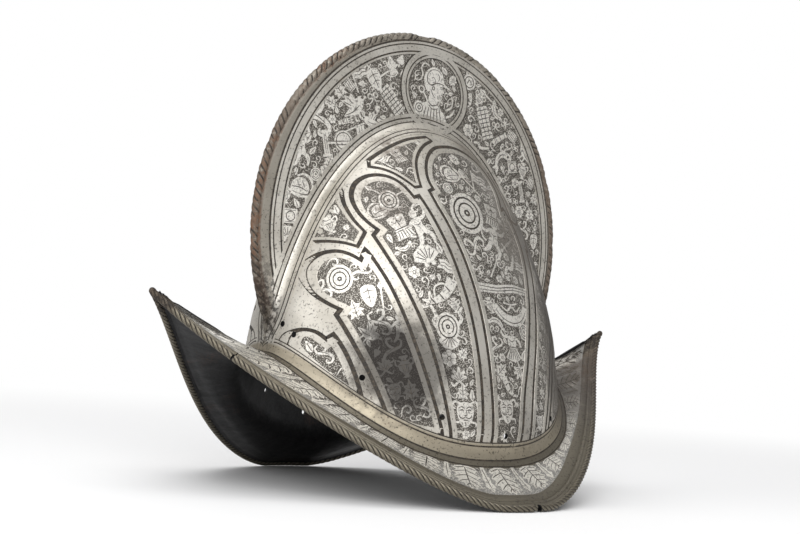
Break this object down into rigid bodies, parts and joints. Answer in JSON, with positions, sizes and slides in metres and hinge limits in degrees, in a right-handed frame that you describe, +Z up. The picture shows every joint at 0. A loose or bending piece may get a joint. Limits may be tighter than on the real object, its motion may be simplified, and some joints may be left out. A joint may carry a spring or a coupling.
{
  "type": "comb morion helmet",
  "caption": "Open steel helmet with a tall comb and a boat-shaped brim that sweeps up to a peak at front and rear, raised from one plate and hollow for the head.",
  "frame": {"origin": "on the ground under the middle of the helmet, at the height of the level stretches of the brim's edge that it stands on", "axes": "+X towards the front peak, +Y towards the wearer's left, +Z up along the skull"},
  "size_m": [0.35, 0.2448, 0.2785],
  "materials": {
    "etched_steel": "polished steel etched all over in bands and trophies on a dotted dark ground, rubbed bright and browned with age",
    "dark_steel": "hammer-rough blackened steel inside the skull and under the brim, with a little rust"
  },
  "bodies": {
    "root": {"helmet_shell": "etched_steel"}
  },
  "joints": []
}
